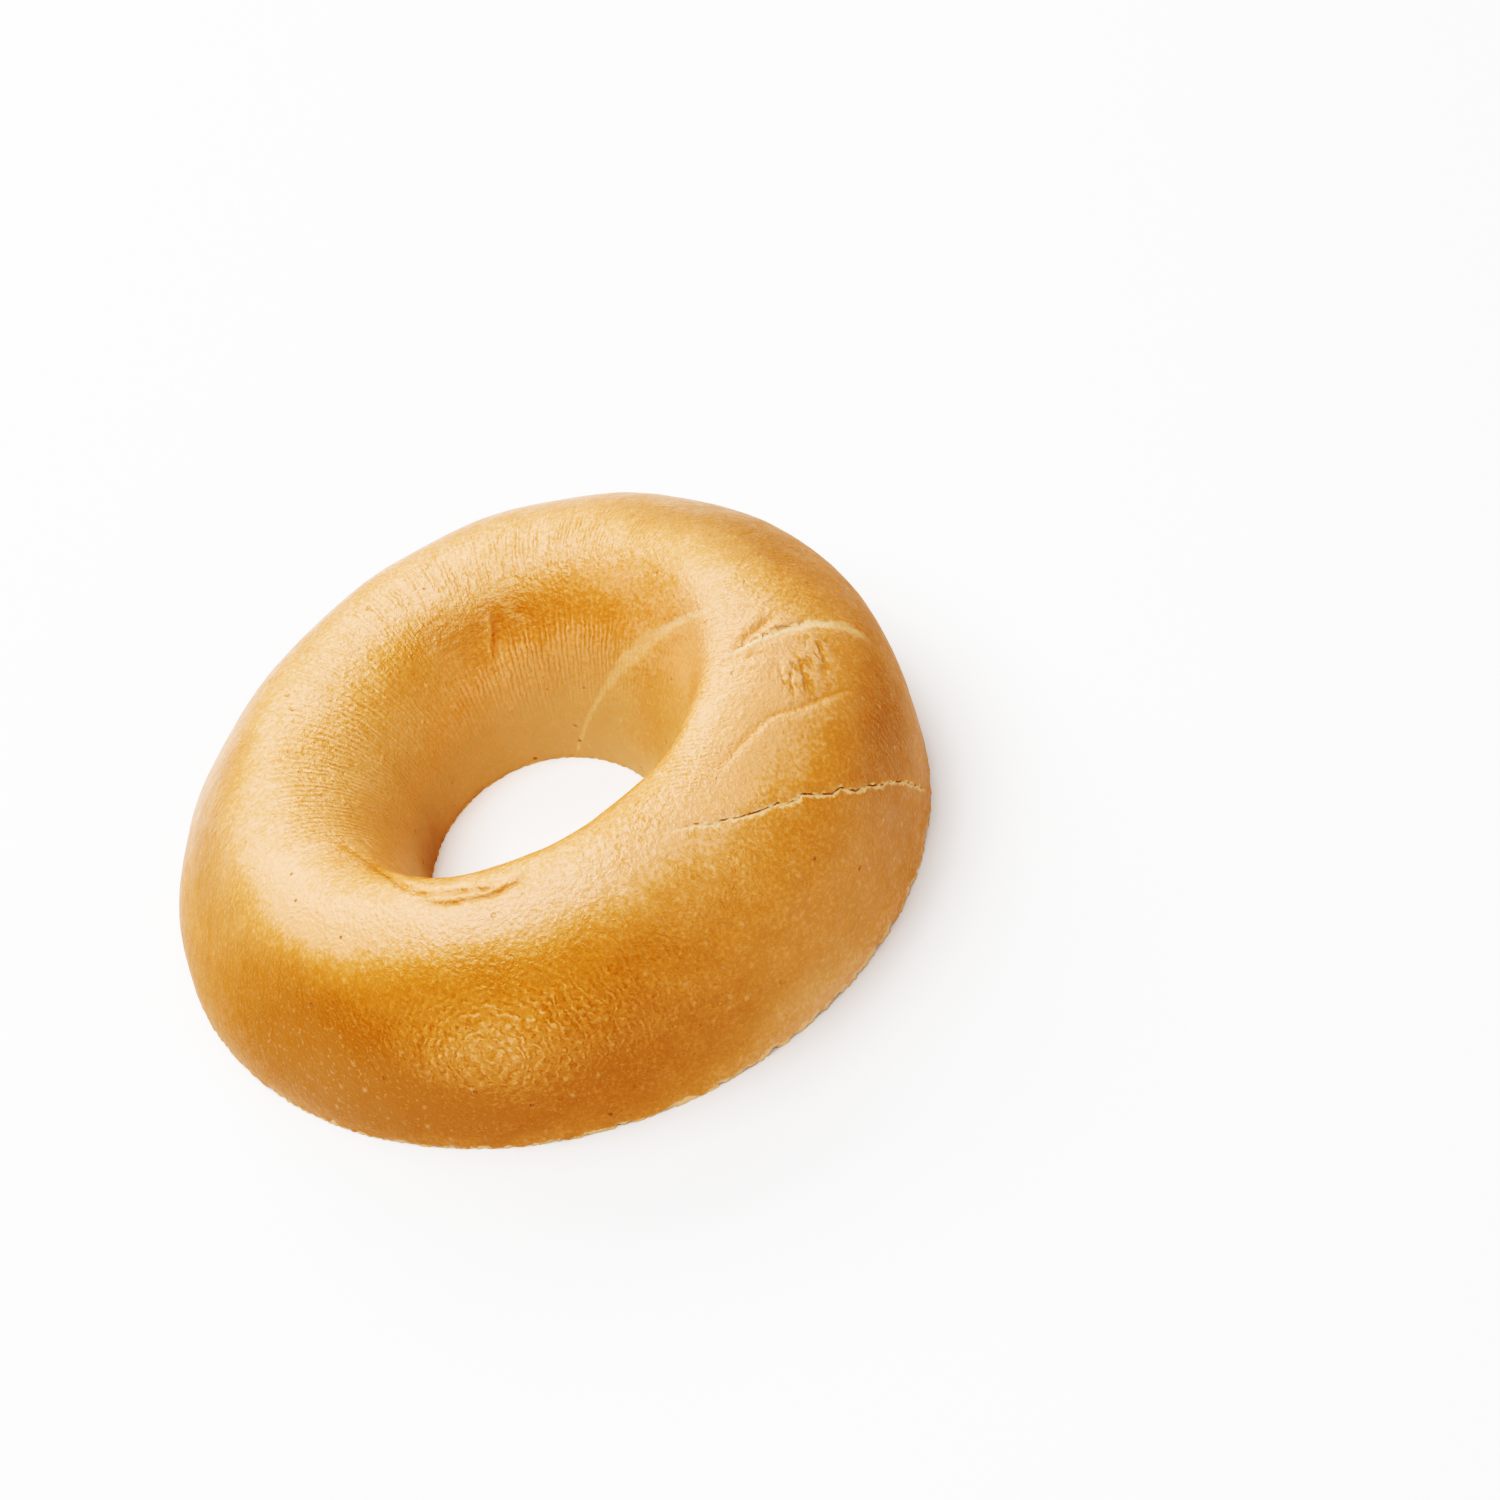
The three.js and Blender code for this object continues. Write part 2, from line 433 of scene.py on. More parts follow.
def press_join(name, strength, half_width, off):
    """Keep the distance from a join, in half widths, and give the groove and its ridge."""
    here = np.abs(off) < FAR
    nearer = here & (np.abs(off / half_width) < np.abs(join_off))
    join_off[nearer] = (off / half_width)[nearer]
    join_strength[nearer] = strength[nearer]
    print(name, "touches", int(here.sum()), "points")
    ridge = JOIN_RIDGE_HEIGHT * bell(off + JOIN_RIDGE_PLACE, JOIN_RIDGE_WIDTH)
    return strength * (ridge - JOIN_GROOVE_DEPTH * bell(off, half_width))


off, along, length = beside("wall_join", places, normals)
share = along / length
half_width = np.interp(share, [0, 0.25, 0.4, 0.55, 0.7, 1], [0.3, 0.5, 1.5, 1.3, 0.65, 0.6])
strength = np.interp(share, [0, 0.25, 0.55, 0.68, 0.85, 1], [0.35, 0.35, 0.45, 0.8, 0.5, 0])
relief += press_join("wall join", strength, half_width, off + 0.4 * wander)

off, along, length = beside("crown_join", places, normals)
share = along / length
half_width = np.interp(share, [0, 0.35, 0.68, 0.85, 1], [0.5, 0.65, 0.95, 1.4, 0.8])
strength = np.interp(share, [0, 0.15, 0.65, 0.76, 0.86, 1], [0.2, 0.95, 0.95, 0.45, 0.65, 0])
relief += press_join("crown join", strength, half_width, off + 0.4 * wander)
pitted = bell(off - 0.45, 0.35) * np.interp(share, [0, 0.1, 0.45, 0.6], [0, 1, 1, 0])
relief -= PIT_DEPTH * pitted

off, along, length = beside("scratch", places, normals)
strength = 0.6 * fade(along, length, 0.6)
half_width = np.full(len(places), 0.28)
relief += press_join("scratch", strength, half_width, off + 0.3 * wander)

# %% [markdown]
# ## The crack
# The crust burst here in the oven: a narrow slit between two raised edges, on a slope that
# drops a little to one side. The slit opens and closes along its way, so its width follows
# noise. Again the points keep their distance, and the material draws the sharp slit, whose
# dark colour is painted shade.

# %% Open the crack
RAISED_HEIGHT = 0.22
RAISED_WIDTH = 2.2
MOUTH_DEPTH = 0.18
MOUTH_WIDTH = 0.55
SLIT_DEPTH = 0.14
SLIT_WIDTH = 0.12
LOW_SIDE_DROP = 0.12
LOW_SIDE_REACH = 4
off, along, length = beside("crack", places, normals)
crack_off = np.clip(off, -FAR, FAR)
crack_strength = fade(along, length, 6)
opening = np.clip(0.50 + 1.8 * rough(places, 1.1, 9), 0.0, 1.0) * crack_strength
relief += RAISED_HEIGHT * crack_strength * bell(off, RAISED_WIDTH)
relief -= MOUTH_DEPTH * crack_strength * bell(off, MOUTH_WIDTH)
relief -= SLIT_DEPTH * opening * bell(off, SLIT_WIDTH)
relief -= LOW_SIDE_DROP * crack_strength * (off < 0) * np.exp(-np.abs(off) / LOW_SIDE_REACH)
print("the crack gapes at", int((opening > 0.5).sum()), "points")

# %% [markdown]
# ## Lip and folds
# Beside the join one end of the dough overlaps the other. Such a lip is a step: the crust
# stands up on one side, dips on the other, and both die away. A pale line along the edge
# is a painted highlight, and the dip gets painted shade. Two smaller folds run from the join
# over the crown. They are grooves between two low ridges, with painted shade in the groove.

# %% Fold the lip over
STEP_HEIGHT = 0.17
STEP_SOFTNESS = 0.4
STEP_REACH = 2.5
DIP_DEPTH = 0.22
DIP_WIDTH = 0.45
off, along, length = beside("lip", places, normals)
strength = fade(along, length, 5)
edge = off + 0.5 * wander
step = STEP_HEIGHT * np.tanh(-edge / STEP_SOFTNESS) * np.exp(-np.abs(edge) / STEP_REACH)
relief += strength * (step - DIP_DEPTH * bell(edge, DIP_WIDTH))
# Painted shade in the dip, and a painted highlight along the raised edge.
painted_valley_shade = np.maximum(painted_valley_shade, 0.6 * strength * bell(edge, 0.8 * DIP_WIDTH))
pale += 0.8 * strength * bell(edge + 0.6, 0.35)

FOLDS = {"join_fold": 0.34, "crown_fold": 0.20}
FOLD_WIDTH = 0.7
for name, depth in FOLDS.items():
    off, along, length = beside(name, places, normals)
    strength = fade(along, length, 3)
    ridges = 0.7 * bell(np.abs(off) - 1.3, 0.8)
    relief += depth * strength * (ridges - bell(off, FOLD_WIDTH))
    # Painted shade in the groove of the fold.
    painted_valley_shade = np.maximum(painted_valley_shade, depth * strength * bell(off, 0.6))
print("deepest valley so far:", round(float(painted_valley_shade.max()), 2))

# %% [markdown]
# ## Creases round the hole
# As the crown sank, the skin at the rim of the hole folded into two long creases. Each is
# a groove with painted shade, and a ridge on the side of the hole with a painted highlight.
# The upper one starts ragged, down on the wall: there it is wider, shallower and patchy,
# and its painted shade is a patchy brown instead of the even one.

# %% Crease the rim of the hole
CREASES = {
    "upper_crease": {"depth": 0.36, "width": 0.42, "fade": 3},
    "lower_crease": {"depth": 0.34, "width": 0.46, "fade": 4},
}
RIDGE_HEIGHT = 0.12
RIDGE_PLACE = 1.1
RIDGE_WIDTH = 0.7
ragged = blob((212, 116), (13, 20))
patchy = np.clip(1 + ragged * (1.4 * rough(places, 0.9, 13) - 0.1), 0.2, 1)
uneven = np.clip(0.95 + 0.7 * rough(places, 2, 12), 0.6, 1.4)
for name, crease in CREASES.items():
    off, along, length = beside(name, places, normals)
    strength = fade(along, length, crease["fade"]) * uneven
    line = off + (0.8 + 0.9 * ragged) * fray
    width = crease["width"] + 0.8 * ragged
    depth = crease["depth"] - 0.2 * ragged
    ridge = RIDGE_HEIGHT * bell(line - RIDGE_PLACE, RIDGE_WIDTH)
    relief += strength * (ridge - depth * bell(line, width))
    # Painted shade in the groove, a painted highlight on the ridge, and on the ragged part a patchy brown
    # painted shade.
    shade = np.clip(strength, 0, 1) * (1 - ragged) * bell(line, 1.25 * width)
    painted_valley_shade = np.maximum(painted_valley_shade, 0.85 * shade)
    pale += 0.5 * strength * bell(line - 1.0 - 0.9 * ragged, 0.4)
    pale -= 1.5 * ragged * strength * patchy * bell(line, width)
    print(name, "is", round(float(length)), "mm long")

# %% [markdown]
# ## Dimples
# Two short dimples lie on the far wall of the hole, each with a ridge beside it, as if
# a fingernail had pressed the dough. They are grooves too, only shorter and rounder, with
# painted shade in the groove and a painted highlight along the ridge.

# %% Dimple the wall of the hole
DIMPLES = {"dimple": 0.4, "small_dimple": 0.2}
for name, depth in DIMPLES.items():
    off, along, length = beside(name, places, normals)
    strength = fade(along, length, 2.5)
    relief += depth * strength * (0.4 * bell(off + 1.2, 0.35) - bell(off, 0.85))
    # A painted highlight along the ridge, and painted shade in the groove.
    pale += 4.0 * depth * strength * bell(off + 1.3, 0.22)
    painted_valley_shade = np.maximum(painted_valley_shade, 1.2 * depth * strength * bell(off - 0.1, 1.1))
    print(name, "is", round(float(length), 1), "mm long")

# %% [markdown]
# ## A blister
# One blister near the crack is large enough for the mesh, about the size of a pinhead. Its
# middle sank, so it is a low ring: a bell on the distance from one place, less a radius.

# %% Raise a blister
BLISTER = (293.6, 59.7)
BLISTER_RADIUS = 0.7
BLISTER_HEIGHT = 0.12


def from_place(round_, over):
    """How far every place is from one place on the crust, in mm."""
    place = crust(np.array([float(round_)]), np.array([float(over)]))
    return np.linalg.norm(places - place, axis=1)


relief += BLISTER_HEIGHT * bell(from_place(*BLISTER) - BLISTER_RADIUS, 0.3)
print("the blister lifts", int((from_place(*BLISTER) < 1).sum()), "points")

# %% [markdown]
# ## Where the skin wrinkles
# As a bagel cools, its boiled skin shrinks into wrinkles that run up the wall of the hole
# and over the far crown, and it is crumpled between the join and the lip. Most of these
# folds are finer than the mesh, so this cell makes only their swells, and patches that say
# where they are. The swells are noise that is stretched along the section: the points that
# feed it are squeezed in height, and spread round the ring.

# %% Wrinkle the skin
WRINKLED = {
    "wrinkled_wall": [((66, 145), (34, 12)), ((170, 122), (40, 20)), ((338, 112), (22, 12))],
    "wrinkled_crown": [((85, 98), (60, 14)), ((338, 94), (22, 10)), ((335, 36), (7, 8))],
}
RINGED = {
    "ringed_flank": ((256, 34), (22, 17)),
    "ringed_crown": ((303, 80), (9, 10)),
}
CRUMPLED = [((339.5, 62), (4.5, 5)), ((330.5, 67), (4.5, 6))]
SPREAD_ROUND = 30
SQUEEZE_UP = 7
SWELL_HEIGHT = 0.035
CRUMPLE_HEIGHT = 0.18


def patch(spots, gain):
    """1 inside a few blobs, with a soft edge."""
    return np.clip(gain * sum(blob(centre, reach) for centre, reach in spots), 0, 1)


wrinkled = {name: patch(spots, 1.2) for name, spots in WRINKLED.items()}
ringed = {name: patch([spot], 1.5) for name, spot in RINGED.items()}
crumpled = patch(CRUMPLED, 1.3)
upward = np.array([0, 0, 1]) * places[:, 2:3]
turn = np.radians(round_)
outward = np.stack([np.cos(turn), np.sin(turn), np.zeros(len(turn))], -1)
swells = rough(outward * SPREAD_ROUND + upward / SQUEEZE_UP, 1.0, 21)
relief += SWELL_HEIGHT * (wrinkled["wrinkled_wall"] + wrinkled["wrinkled_crown"]) * swells
relief += CRUMPLE_HEIGHT * crumpled * rough(places, 1.4, 33)
over_crown = np.clip(1.4 * bell(over - 85, 40), 0, 1)
pebbled = 0.35 + 0.65 * over_crown + 0.8 * blob((350, 102), (20, 18))
print("crumpled points:", int((crumpled > 0.5).sum()))

# %% [markdown]
# ## The torn edge
# The knife tore the crust here and there, so the cut edge is ragged and pale crumb shows
# along it, most on the near right. The nicks are noise that bites inwards, deepest at the
# edge and gone a millimetre above it, and the edge itself is chipped upwards a little.

# %% Tear the cut edge
SMALLEST_NICK = 0.12
TORN_NICK = 0.42
CHIP_HEIGHT = 0.30
rim_height = np.where(on_cut, 0, places[:, 2])
tear = 0.25 + 0.75 * blob((306, 0), (42, 60)) + 0.4 * blob((222, 0), (25, 60))
tear *= np.clip(1 + 0.9 * rough(places * np.array([1, 1, 0.5]), 2.6, 50), 0.2, 2)
small_nicks = rough(places * np.array([1, 1, 0.6]), 0.75, 51)
nicks = np.clip(0.45 + small_nicks + 0.6 * rough(places, 1.8, 52), 0, 1.6)
nick_depth = (SMALLEST_NICK + TORN_NICK * tear) * nicks
relief -= nick_depth * np.exp(-rim_height / (0.35 + 0.5 * tear))
bread = places + normals * relief[:, None]
on_rim = (over == 0) | (over == 180)
chips = CHIP_HEIGHT * np.clip(tear, 0, 1) * nicks
bread[:, 2] = np.where(on_rim, chips, np.maximum(bread[:, 2], chips))
print("highest chip, mm:", round(float(chips[on_rim].max()), 2))

# %% [markdown]
# ## The cut face
# On the cut face the crumb is open: bubbles of the dough were cut through. A Voronoi
# pattern gives round hollows at random places, large ones in some parts and small ones
# everywhere. They only go inwards, so the half still lies flat.

# %% Open the crumb
LARGE_PORES = {"spacing": 3.4, "depth": 1.1, "seed": 7}
SMALL_PORES = {"spacing": 1.7, "depth": 0.45, "seed": 3}
PORE_RADIUS = 0.42
inner_place = crust(round_, np.full_like(round_, 180))
outer_place = crust(round_, np.zeros_like(round_))
floor_place = inner_place + (outer_place - inner_place) * cut[:, None]


def pores(places, spacing, depth, seed):
    """Round hollows where dough bubbles were cut through. PORE_RADIUS is a share of spacing."""
    hollow = np.empty(len(places))
    for i, p in enumerate(places):
        distances = noise.voronoi(Vector(p) / spacing + Vector((seed, seed, 0)))[0]
        hollow[i] = max(0.0, 1 - (distances[0] / PORE_RADIUS) ** 2)
    return depth * np.sqrt(hollow)


from_edge = np.clip(np.minimum(cut, 1 - cut) / 0.05, 0, 1)
hollow = np.zeros(len(places))
cut_points = np.nonzero(on_cut)[0]
cut_places = floor_place[cut_points]
open_here = np.clip(0.5 + 0.8 * rough(cut_places, 9, 61), 0.1, 1)
hollow[cut_points] = pores(cut_places, **LARGE_PORES) * open_here + pores(cut_places, **SMALL_PORES)
hollow[cut_points] += 0.12 * (1 + rough(cut_places, 1.4, 62))
floor_place[:, 2] = hollow * from_edge
bread[on_cut] = floor_place[on_cut]
print("deepest pore, mm:", round(float(floor_place[:, 2].max()), 2))

# %% [markdown]
# ## How brown the crust is
# An oven browns a bagel unevenly: most on the flanks and low on the far wall of the hole,
# least where the dough was joined and along the cut. That could be painted on by hand, but
# a list of browner and paler patches is easier to change. Not all of them are browning:
# most pale patches on the crown, and the one in the middle of the ringed patch, are painted
# highlights, and the dark band on the far wall of the hole is partly painted shade. Each is
# an amount, a place and a reach, both as (round, over) in degrees. The sum is stored with
# the points as an attribute, so the colour follows the bread's own shape.

# %% Patches of browning
# Real browning together with painted highlights and painted shade.
BROWNING_AND_LIGHT_PATCHES = {
    "near flank": [
        (1.7, (222, 36), (21, 20)), (1.1, (245, 16), (50, 17)), (0.6, (230, 14), (24, 13)),
        (0.8, (277, 48), (15, 12)), (0.7, (255, 54), (13, 8)), (0.5, (250, 61), (26, 7)),
        (-1.1, (252, 33), (11, 13)), (0.5, (267, 32), (9, 13)), (0.3, (285, 30), (10, 25)),
        (-0.2, (306, 22), (14, 22)), (-1.0, (297, 7), (13, 7)),
    ],
    "near crown": [
        (-1.3, (221, 67), (12, 11)), (0.4, (225, 86), (12, 6)), (-0.4, (237, 66), (9, 6)),
        (-0.5, (244, 77), (22, 9)), (-0.5, (280, 68), (38, 9)), (0.8, (290, 92), (12, 8)),
    ],
    "beside the crack and the join": [
        (0.3, (322, 22), (16, 16)), (1.5, (334, 36), (14, 15)), (-0.4, (312, 61), (17, 11)),
        (-1.2, (320, 80), (25, 13)), (-1.0, (340, 62), (17, 14)), (0.4, (0, 45), (30, 25)),
        (0.9, (10, 66), (17, 12)),
    ],
    "far crown and left shoulder": [
        (1.3, (28, 75), (27, 18)), (0.6, (38, 87), (18, 13)), (0.9, (160, 72), (12, 13)),
        (0.7, (174, 50), (16, 12)), (-0.9, (202, 75), (17, 12)),
    ],
    "wall of the hole": [
        (1.6, (84, 126), (46, 13)), (0.4, (92, 119), (20, 7)), (0.9, (108, 114), (13, 7)),
        (0.6, (124, 126), (16, 8)), (0.6, (163, 103), (12, 8)), (-0.8, (208, 117), (20, 12)),
        (-1.8, (345, 109), (20, 16)), (-0.9, (353, 125), (14, 14)), (1.2, (5, 160), (26, 12)),
        (-0.6, (14, 133), (16, 10)), (-0.8, (42, 120), (24, 9)), (-0.9, (72, 139), (26, 9)),
    ],
}
print("patches:", {part: len(patches) for part, patches in BROWNING_AND_LIGHT_PATCHES.items()})

# %% [markdown]
# The patches lie on a plain gradient, browner low on the flank, with a pale band along the
# crown. The band is partly paler crust and partly a painted highlight. The ridges of the
# marks add their painted light. Three more attributes come with the browning: a painted
# shade, duller and greyer, low in the hole, on its left wall and near the cut on the near
# right; where the crust is drier and less glossy; and a painted shadow in one dark corner
# low in the hole.

# %% Brown the crust
PALE_AND_HIGHLIGHT_LINE = size(86, (13, 1, 90))
PALE_AND_HIGHLIGHT_REACH = 27
browning_and_painted_light = np.interp(over, [60, 115, 150, 180], [0.85, 0.2, -0.4, -0.8])
# The pale band along the crown: partly paler crust, partly a painted highlight.
browning_and_painted_light -= 1.2 * bell(over - size_at(PALE_AND_HIGHLIGHT_LINE, round_), PALE_AND_HIGHLIGHT_REACH)
for patches in BROWNING_AND_LIGHT_PATCHES.values():
    browning_and_painted_light += sum(amount * blob(centre, reach) for amount, centre, reach in patches)
browning_and_painted_light += 0.22 * rough(places, 14, 71) + 0.20 * rough(places, 5, 72) - pale
# Paler along the cut, most on the near right: partly a painted highlight where the edge turns.
near_right = blob((302, 0), (34, 60))
along_cut = (0.35 + 1.45 * near_right) * bell(rim_height, 2.4 + near_right)
browning_and_painted_light -= along_cut * (over < 90)

# Painted shade, duller and greyer: low in the hole, on its left wall and near the cut on the near right,
# less on the right wall.
low_in_hole = (over - 132) / 26
painted_shade = np.maximum(0.9 * blob((160, 142), (60, 26)), 0.3 * blob((298, 9), (14, 9)))
painted_shade = np.clip(np.maximum(painted_shade, low_in_hole), 0, 1) - 0.5 * blob((5, 162), (26, 14))
dry_flanks = blob((0, 35), (42, 40)) + blob((196, 28), (26, 33))
dry = np.maximum(dry_flanks, np.clip((over - 115) / 40, 0, 1))
# A painted shadow in one dark corner low in the hole, near the cut.
painted_corner_shadow = 0.6 * blob((166, 174), (24, 14))
print("browning from", round(float(browning_and_painted_light.min()), 2), "to", round(float(browning_and_painted_light.max()), 2))

# %% [markdown]
# ## The piece
# Now the spun ring becomes bread: each of its points moves to its place, in metres, and
# the attributes are laid on the mesh. The places are kept inside the box of the solid, so
# that the finished half is no larger than the solid says. Faces on the cut get their own
# material.

# %% Make the piece
CRUST_SLOT = 0
CRUMB_SLOT = 1
on_base = on_cut | (cut > 0) | on_rim
ATTRIBUTES = {
    "browning_and_painted_light": browning_and_painted_light, "painted_shade": painted_shade, "painted_corner_shadow": painted_corner_shadow, "dry": dry,
    "painted_valley_shade": painted_valley_shade, "pitted": pitted, "pebbled": pebbled, "crumpled": crumpled,
    "join_off": join_off, "join_strength": join_strength,
    "crack_off": crack_off, "crack_strength": crack_strength, "opening": opening,
    "rim_height": np.minimum(rim_height, FAR), "tear": tear,
    "across_cut": cut, "hollow": hollow,
    **wrinkled, **ringed,
}


def bagel_piece(ring):
    box_low = np.array(CAD_LOW) / MM
    box_high = np.array(CAD_HIGH) / MM
    inside = np.clip(bread, box_low, box_high) * MM
    for vertex, place in zip(ring.verts, inside):
        vertex.co = place
    bmesh.ops.recalc_face_normals(ring, faces=ring.faces[:])
    ring.verts.index_update()
    for face in ring.faces:
        face.smooth = True
        below = all(on_base[v.index] for v in face.verts)
        face.material_index = CRUMB_SLOT if below else CRUST_SLOT
    mesh = bpy.data.meshes.new("bagel_crust_up")
    ring.to_mesh(mesh)
    for name, values in ATTRIBUTES.items():
        layer = mesh.attributes.new(name, "FLOAT", "POINT")
        layer.data.foreach_set("value", values.astype(np.float32))
    piece = bpy.data.objects.new("bagel_crust_up", mesh)
    bpy.context.scene.collection.objects.link(piece)
    return piece


bagel = bagel_piece(ring)
triangles = sum(len(p.vertices) - 2 for p in bagel.data.polygons)
print("bagel:", triangles, "triangles, cut faces", sum(p.material_index for p in bagel.data.polygons))

# %% [markdown]
# ## Node helpers
# Materials are networks of nodes. Small functions keep their recipes readable: one adds a
# node and sets its values, one mixes two colours, and the others do sums and noise.

# %% Add and mix nodes
def start_material(name):
    material = bpy.data.materials.new(name)
    material.use_nodes = True
    return material, material.node_tree


def add_node(tree, kind, inputs=None, **settings):
    node = tree.nodes.new(kind)
    for key, value in settings.items():
        setattr(node, key, value)
    for key, value in (inputs or {}).items():
        if isinstance(value, bpy.types.NodeSocket):
            tree.links.new(value, node.inputs[key])
        else:
            node.inputs[key].default_value = value
    return node


def mix_colour(tree, amount, first, second):
    node = tree.nodes.new("ShaderNodeMix")
    node.data_type = "RGBA"
    sockets = [s for s in node.inputs if s.enabled]
    for socket, value in zip(sockets, (amount, first, second)):
        if isinstance(value, bpy.types.NodeSocket):
            tree.links.new(value, socket)
        else:
            socket.default_value = value if isinstance(value, float) else (*value, 1.0)
    return next(s for s in node.outputs if s.enabled)


def attribute(tree, name):
    return add_node(tree, "ShaderNodeAttribute", attribute_name=name).outputs["Fac"]


print("attributes for the materials:", len(ATTRIBUTES))

# %% [markdown]
# Sums on values and on coordinates read best as plain verbs. A map range turns one stretch
# of values into another, with a straight or a soft step between.

# %% Do sums with nodes
def calculate(tree, operation, *values, clamp=False):
    sockets = dict(enumerate(values))
    return add_node(tree, "ShaderNodeMath", sockets, operation=operation, use_clamp=clamp).outputs[0]


def plus(tree, first, second, clamp=False):
    return calculate(tree, "ADD", first, second, clamp=clamp)


def minus(tree, first, second):
    return calculate(tree, "SUBTRACT", first, second)


def times(tree, first, second, clamp=False):
    return calculate(tree, "MULTIPLY", first, second, clamp=clamp)


def remap(tree, value, low, high, new_low=0.0, new_high=1.0):
    node = add_node(tree, "ShaderNodeMapRange", {"Value": value, "From Min": low, "From Max": high,
                                                 "To Min": new_low, "To Max": new_high})
    return node.outputs["Result"]


def smooth_step(tree, value, low, high):
    """0 below low, 1 above high, and a soft step between. low may be the larger one."""
    node = add_node(tree, "ShaderNodeMapRange", {"Value": value, "From Min": low, "From Max": high})
    node.interpolation_type = "SMOOTHSTEP"
    return node.outputs["Result"]


def combine(tree, operation, first, second):
    """Add, subtract, multiply or cross two sets of coordinates."""
    node = add_node(tree, "ShaderNodeVectorMath", {0: first, 1: second}, operation=operation)
    return node.outputs[0]


def scaled(tree, vector, scale):
    node = add_node(tree, "ShaderNodeVectorMath", {0: vector, "Scale": scale}, operation="SCALE")
    return node.outputs[0]


def vector_length(tree, vector):
    return add_node(tree, "ShaderNodeVectorMath", {0: vector}, operation="LENGTH").outputs["Value"]


print("sums: plus, minus, times, remap, smooth_step, combine, scaled, vector_length")

# %% [markdown]
# All fine detail is noise on the object's own coordinates, in metres, so a scale of 1000
# gives lumps of about a millimetre. Dots are the middles of Voronoi cells, of which only a
# random share is kept, and wobbled coordinates make them less round.

# %% Noise and dots
WOBBLE = 0.0006


def grain(tree, where, scale, detail=2.0, roughness=0.5):
    """Noise on the object's own coordinates, as a value from 0 to 1."""
    return add_node(tree, "ShaderNodeTexNoise", {"Vector": where, "Scale": scale, "Detail": detail,
                                                 "Roughness": roughness}).outputs["Fac"]


def centred(tree, value, strength):
    """Noise from 0 to 1 as a push either way."""
    return times(tree, minus(tree, value, 0.5), strength)


def wobbled(tree, where):
    """Coordinates pushed about by noise, which makes round dots uneven."""
    push = add_node(tree, "ShaderNodeTexNoise", {"Vector": where, "Scale": 1500.0, "Detail": 1.0})
    push = combine(tree, "SUBTRACT", push.outputs["Color"], (0.5, 0.5, 0.5))
    return combine(tree, "ADD", where, scaled(tree, push, WOBBLE))


def dots(tree, where, spacing, size, share):
    """Round dots at random places. spacing and size in metres, share is how many of them show."""
    cells = add_node(tree, "ShaderNodeTexVoronoi",
                     {"Vector": where, "Scale": 1 / spacing, "Randomness": 1.0})
    near = smooth_step(tree, cells.outputs["Distance"], size / spacing, 0.0)
    draw = add_node(tree, "ShaderNodeSeparateColor", {"Color": cells.outputs["Color"]}).outputs["Red"]
    return times(tree, near, calculate(tree, "LESS_THAN", draw, share))


print("wobble, mm:", WOBBLE / MM)

# %% [markdown]
# ## The colours of the crust
# Bagel crust is thin, smooth and glossy, since the dough was boiled before it was baked.
# Its colour goes from straw through gold to orange brown. A ramp of four colours, mixed by
# the browning of the points, which also carries painted highlights and painted shade, and
# two layers of noise, gives that with few nodes. The crests of wrinkles are drawn paler and
# their troughs browner, and the painted shade, a duller and greyer tan, is mixed in last.

# %% Crust colours
STRAW = (0.71, 0.360, 0.185)
GOLD = (0.58, 0.258, 0.082)
AMBER = (0.485, 0.195, 0.043)
BROWN = (0.36, 0.130, 0.008)
# The dull tan is painted shade, low in the hole.
PAINTED_SHADE_TAN = (0.515, 0.315, 0.150)
CREAM = (0.78, 0.53, 0.31)
# A deep shade painted into slits, pits and one dark corner.
DEEP_SHADE = (0.30, 0.15, 0.05)


def browned_and_painted_light_colour(tree, where, crests):
    clouds = centred(tree, grain(tree, where, 280.0, 3.0, 0.6), 1.3)
    speckles = centred(tree, grain(tree, where, 1600.0, 3.0, 0.65), 4.0)
    brown = plus(tree, attribute(tree, "browning_and_painted_light"), clouds)
    brown = minus(tree, brown, crests)
    brown = plus(tree, brown, speckles)
    colour = mix_colour(tree, remap(tree, brown, -1.0, 0.0), STRAW, GOLD)
    colour = mix_colour(tree, remap(tree, brown, 0.0, 0.9), colour, AMBER)
    colour = mix_colour(tree, remap(tree, brown, 0.9, 2.2), colour, BROWN)
    # Mix in the painted shade.
    shade_mix = remap(tree, grain(tree, where, 1300.0), 0.35, 0.65, 0.75, 1.1)
    shade_mix = times(tree, attribute(tree, "painted_shade"), shade_mix)
    below_crests = calculate(tree, "MULTIPLY_ADD", crests, -0.4, 1.0)
    shade_mix = times(tree, shade_mix, below_crests, clamp=True)
    return mix_colour(tree, shade_mix, colour, PAINTED_SHADE_TAN)


print("crust colours from", STRAW, "to", BROWN)

# %% [markdown]
# ## Edges where the skin parted
# The join, the crack and the torn rim all show pale crumb with a frayed edge. Each is a
# soft step on a distance that the points carry, pushed to and fro by fine noise.

# %% Frayed edges
def frayed_join(tree, where):
    """The pale band along the join, with frayed edges."""
    fray = centred(tree, grain(tree, where, 900.0, 3.0, 0.65), 2.2)
    off = calculate(tree, "ABSOLUTE", plus(tree, attribute(tree, "join_off"), fray))
    return times(tree, smooth_step(tree, off, 1.2, 0.3), attribute(tree, "join_strength"))


